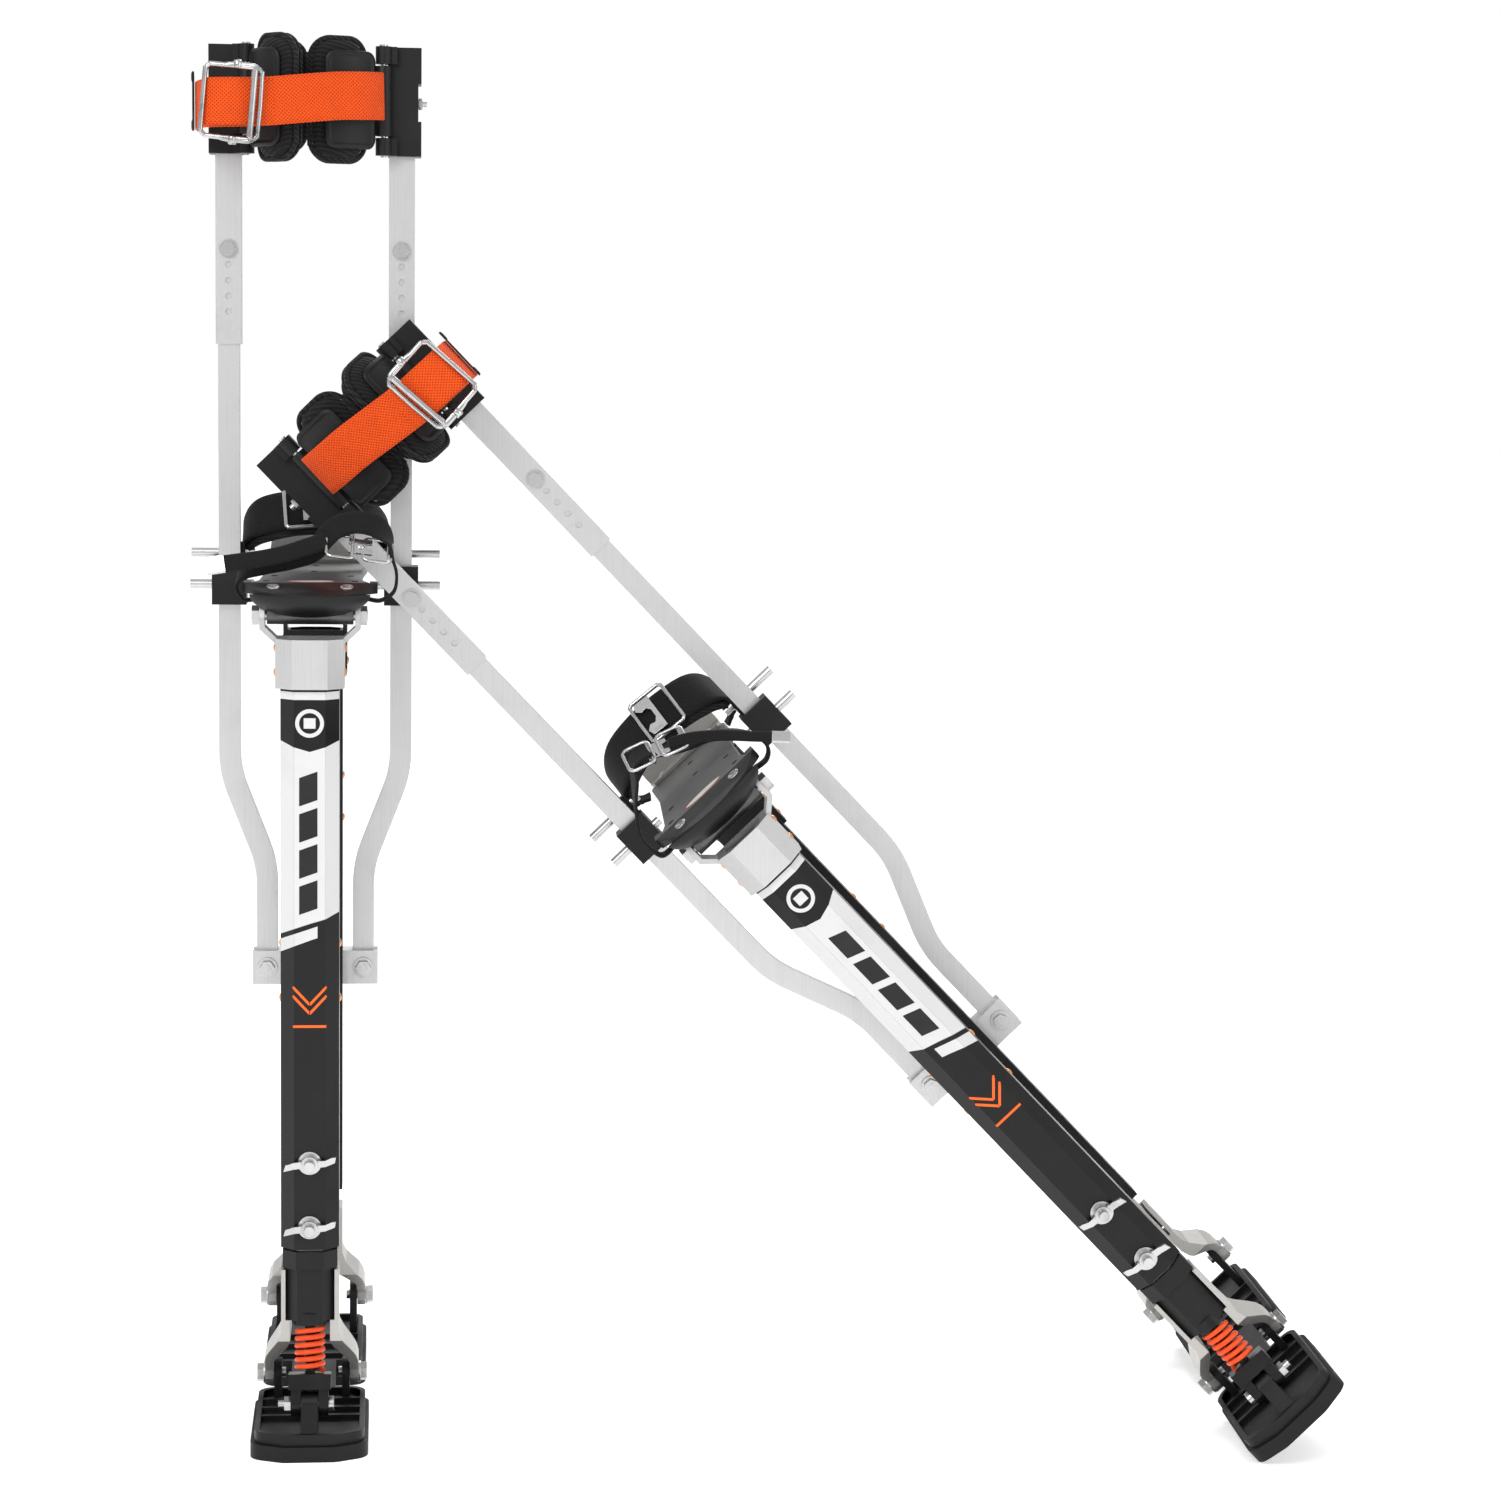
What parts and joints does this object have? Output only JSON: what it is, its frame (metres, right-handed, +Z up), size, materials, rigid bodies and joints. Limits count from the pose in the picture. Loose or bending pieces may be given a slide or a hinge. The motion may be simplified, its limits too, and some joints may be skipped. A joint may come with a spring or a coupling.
{
  "type": "drywall stilts",
  "caption": "Drywall stilts with telescopic front and rear columns, sprung sole, strapped foot plate and padded calf band; an upright stilt with its mirror image leaning on it.",
  "frame": {"origin": "bottom centre of the pair's bounding box, on the floor", "axes": "+Z up, -Y the way the toes point, +X from the upright stilt towards the foot of the leaning one"},
  "size_m": [0.9141, 0.4262, 1.1045],
  "materials": {
    "bolt_zinc": "bright zinc",
    "cast_grey": "satin cast",
    "chrome": "polished",
    "column_black": "satin anodised",
    "pad_mesh": "spacer mesh",
    "plastic_black": "fine texture",
    "plate_grey": "cast, satin",
    "rubber_black": "matte",
    "silver": "satin",
    "spring_orange": "gloss powder coat",
    "webbing_black": "woven",
    "webbing_orange": "woven"
  },
  "bodies": {
    "a_sole": {"a_sole_frame": "plastic_black", "a_sole_treads": "rubber_black", "a_sole_bolts": "bolt_zinc"},
    "a_spring_link": {"a_spring_clevis": "column_black", "a_spring": "spring_orange"},
    "a_front_shank": {"a_front_shank": "cast_grey", "a_end_cap": "plastic_black"},
    "a_front_leg": {"a_front_column": "column_black", "a_front_collar": "silver"},
    "a_wing_lower": {"a_wing_bolt_lower": "bolt_zinc"},
    "a_wing_upper": {"a_wing_bolt_upper": "bolt_zinc"},
    "a_foot": {"a_foot_plate": "plate_grey", "a_toe_bumper": "plastic_black", "a_heel_plate": "cast_grey", "a_foot_straps": "webbing_black", "a_foot_buckles": "chrome"},
    "a_rear_shank": {"a_rear_shank": "cast_grey"},
    "a_rear_leg": {"a_rear_column": "column_black", "a_lower_struts": "silver", "a_guide_blocks": "plastic_black", "a_rear_fasteners": "bolt_zinc"},
    "a_calf_frame": {"a_upper_struts": "silver", "a_band_brackets": "plastic_black", "a_band_fasteners": "bolt_zinc", "a_calf_strap": "webbing_orange", "a_calf_buckle": "chrome"},
    "a_cuff_left": {"a_cuff_left": "plastic_black", "a_pad_left": "pad_mesh"},
    "a_cuff_right": {"a_cuff_right": "plastic_black", "a_pad_right": "pad_mesh"},
    "b_sole": {"b_sole_frame": "plastic_black", "b_sole_treads": "rubber_black", "b_sole_bolts": "bolt_zinc"},
    "b_spring_link": {"b_spring_clevis": "column_black", "b_spring": "spring_orange"},
    "b_front_shank": {"b_front_shank": "cast_grey", "b_end_cap": "plastic_black"},
    "b_front_leg": {"b_front_column": "column_black", "b_front_collar": "silver"},
    "b_wing_lower": {"b_wing_bolt_lower": "bolt_zinc"},
    "b_wing_upper": {"b_wing_bolt_upper": "bolt_zinc"},
    "b_foot": {"b_foot_plate": "plate_grey", "b_toe_bumper": "plastic_black", "b_heel_plate": "cast_grey", "b_foot_straps": "webbing_black", "b_foot_buckles": "chrome"},
    "b_rear_shank": {"b_rear_shank": "cast_grey"},
    "b_rear_leg": {"b_rear_column": "column_black", "b_lower_struts": "silver", "b_guide_blocks": "plastic_black", "b_rear_fasteners": "bolt_zinc"},
    "b_calf_frame": {"b_upper_struts": "silver", "b_band_brackets": "plastic_black", "b_band_fasteners": "bolt_zinc", "b_calf_strap": "webbing_orange", "b_calf_buckle": "chrome"},
    "b_cuff_left": {"b_cuff_left": "plastic_black", "b_pad_left": "pad_mesh"},
    "b_cuff_right": {"b_cuff_right": "plastic_black", "b_pad_right": "pad_mesh"}
  },
  "joints": [
    {"name": "a_front_swing", "type": "hinge", "parent": "a_sole", "child": "a_front_shank", "pos_m": [-0.35506, -0.02486, 0.036], "axis": [1, 0, 0], "range_deg": [-5, 5], "stiffness_Nm_per_rad": 60, "deforming": ["a_spring"]},
    {"name": "a_rear_swing", "type": "hinge", "parent": "a_sole", "child": "a_rear_shank", "pos_m": [-0.35506, 0.17214, 0.048], "axis": [1, 0, 0], "range_deg": [-5, 5]},
    {"name": "a_spring_tip", "type": "hinge", "parent": "a_sole", "child": "a_spring_link", "pos_m": [-0.35506, -0.11686, 0.036], "axis": [1, 0, 0], "range_deg": [-3.3, 3.3]},
    {"name": "a_front_height", "type": "slide", "parent": "a_front_shank", "child": "a_front_leg", "axis": [0, 0, 1], "range_m": [0, 0.3048]},
    {"name": "a_rear_height", "type": "slide", "parent": "a_rear_shank", "child": "a_rear_leg", "axis": [0, 0, 1], "range_m": [0, 0.3048]},
    {"name": "a_plate_tilt", "type": "hinge", "parent": "a_front_leg", "child": "a_foot", "pos_m": [-0.35506, -0.09186, 0.651], "axis": [1, 0, 0], "range_deg": [-5, 5]},
    {"name": "a_wing_lower_turn", "type": "hinge", "parent": "a_front_leg", "child": "a_wing_lower", "pos_m": [-0.35506, -0.11786, 0.177], "axis": [0, 1, 0], "continuous": true},
    {"name": "a_wing_upper_turn", "type": "hinge", "parent": "a_front_leg", "child": "a_wing_upper", "pos_m": [-0.35506, -0.11786, 0.2278], "axis": [0, 1, 0], "continuous": true},
    {"name": "a_calf_height", "type": "slide", "parent": "a_rear_leg", "child": "a_calf_frame", "axis": [0, 0, 1], "range_m": [0, 0.0508]},
    {"name": "a_cuff_left_turn", "type": "hinge", "parent": "a_calf_frame", "child": "a_cuff_left", "pos_m": [-0.41006, 0.08914, 1.051], "axis": [0, 0, 1], "range_deg": [-25, 12], "deforming": ["a_calf_strap"]},
    {"name": "a_cuff_right_turn", "type": "hinge", "parent": "a_calf_frame", "child": "a_cuff_right", "pos_m": [-0.30006, 0.08914, 1.051], "axis": [0, 0, 1], "range_deg": [-5, 30]},
    {"name": "b_stand_off", "type": "slide", "parent": "a_rear_leg", "child": "b_calf_frame", "axis": [1, 0, 0], "range_m": [0, 0.15]},
    {"name": "b_front_swing", "type": "hinge", "parent": "b_sole", "child": "b_front_shank", "pos_m": [0.39409, -0.0839, 0.05751], "axis": [0.7177, -0.0251, 0.6959], "range_deg": [-5, 5], "stiffness_Nm_per_rad": 60, "deforming": ["b_spring"]},
    {"name": "b_rear_swing", "type": "hinge", "parent": "b_rear_shank", "child": "b_sole", "pos_m": [0.39262, 0.11327, 0.06613], "axis": [-0.7177, 0.0251, -0.6959], "range_deg": [-5, 5]},
    {"name": "b_spring_tip", "type": "hinge", "parent": "b_sole", "child": "b_spring_link", "pos_m": [0.39088, -0.17585, 0.05751], "axis": [0.7177, -0.0251, 0.6959], "range_deg": [-3.3, 3.3]},
    {"name": "b_front_height", "type": "slide", "parent": "b_front_shank", "child": "b_front_leg", "axis": [-0.6955, 0.0243, 0.7181], "range_m": [0, 0.3048]},
    {"name": "b_rear_height", "type": "slide", "parent": "b_rear_leg", "child": "b_rear_shank", "axis": [0.6955, -0.0243, -0.7181], "range_m": [0, 0.3048]},
    {"name": "b_plate_tilt", "type": "hinge", "parent": "b_front_leg", "child": "b_foot", "pos_m": [-0.03598, -0.13592, 0.49916], "axis": [0.7177, -0.0251, 0.6959], "range_deg": [-5, 5]},
    {"name": "b_wing_lower_turn", "type": "hinge", "parent": "b_front_leg", "child": "b_wing_lower", "pos_m": [0.29278, -0.17342, 0.15877], "axis": [-0.0349, -0.9994, 0], "continuous": true},
    {"name": "b_wing_upper_turn", "type": "hinge", "parent": "b_front_leg", "child": "b_wing_upper", "pos_m": [0.25745, -0.17219, 0.19525], "axis": [-0.0349, -0.9994, 0], "continuous": true},
    {"name": "b_calf_height", "type": "slide", "parent": "b_calf_frame", "child": "b_rear_leg", "axis": [0.6955, -0.0243, -0.7181], "range_m": [0, 0.0508]},
    {"name": "b_cuff_left_turn", "type": "hinge", "parent": "b_calf_frame", "child": "b_cuff_left", "pos_m": [-0.26838, 0.0533, 0.82469], "axis": [0.6955, -0.0243, -0.7181], "range_deg": [-25, 12], "deforming": ["b_calf_strap"]},
    {"name": "b_cuff_right_turn", "type": "hinge", "parent": "b_calf_frame", "child": "b_cuff_right", "pos_m": [-0.34733, 0.05606, 0.74814], "axis": [0.6955, -0.0243, -0.7181], "range_deg": [-5, 30]}
  ],
  "couplings": [
    {"joint": "a_rear_swing", "follows": "a_front_swing", "ratio": 1},
    {"joint": "a_spring_tip", "follows": "a_front_swing", "ratio": 0.635},
    {"joint": "a_rear_height", "follows": "a_front_height", "ratio": 1},
    {"joint": "a_plate_tilt", "follows": "a_front_swing", "ratio": -1},
    {"joint": "b_rear_swing", "follows": "b_front_swing", "ratio": 1},
    {"joint": "b_spring_tip", "follows": "b_front_swing", "ratio": 0.635},
    {"joint": "b_rear_height", "follows": "b_front_height", "ratio": 1},
    {"joint": "b_plate_tilt", "follows": "b_front_swing", "ratio": -1}
  ]
}
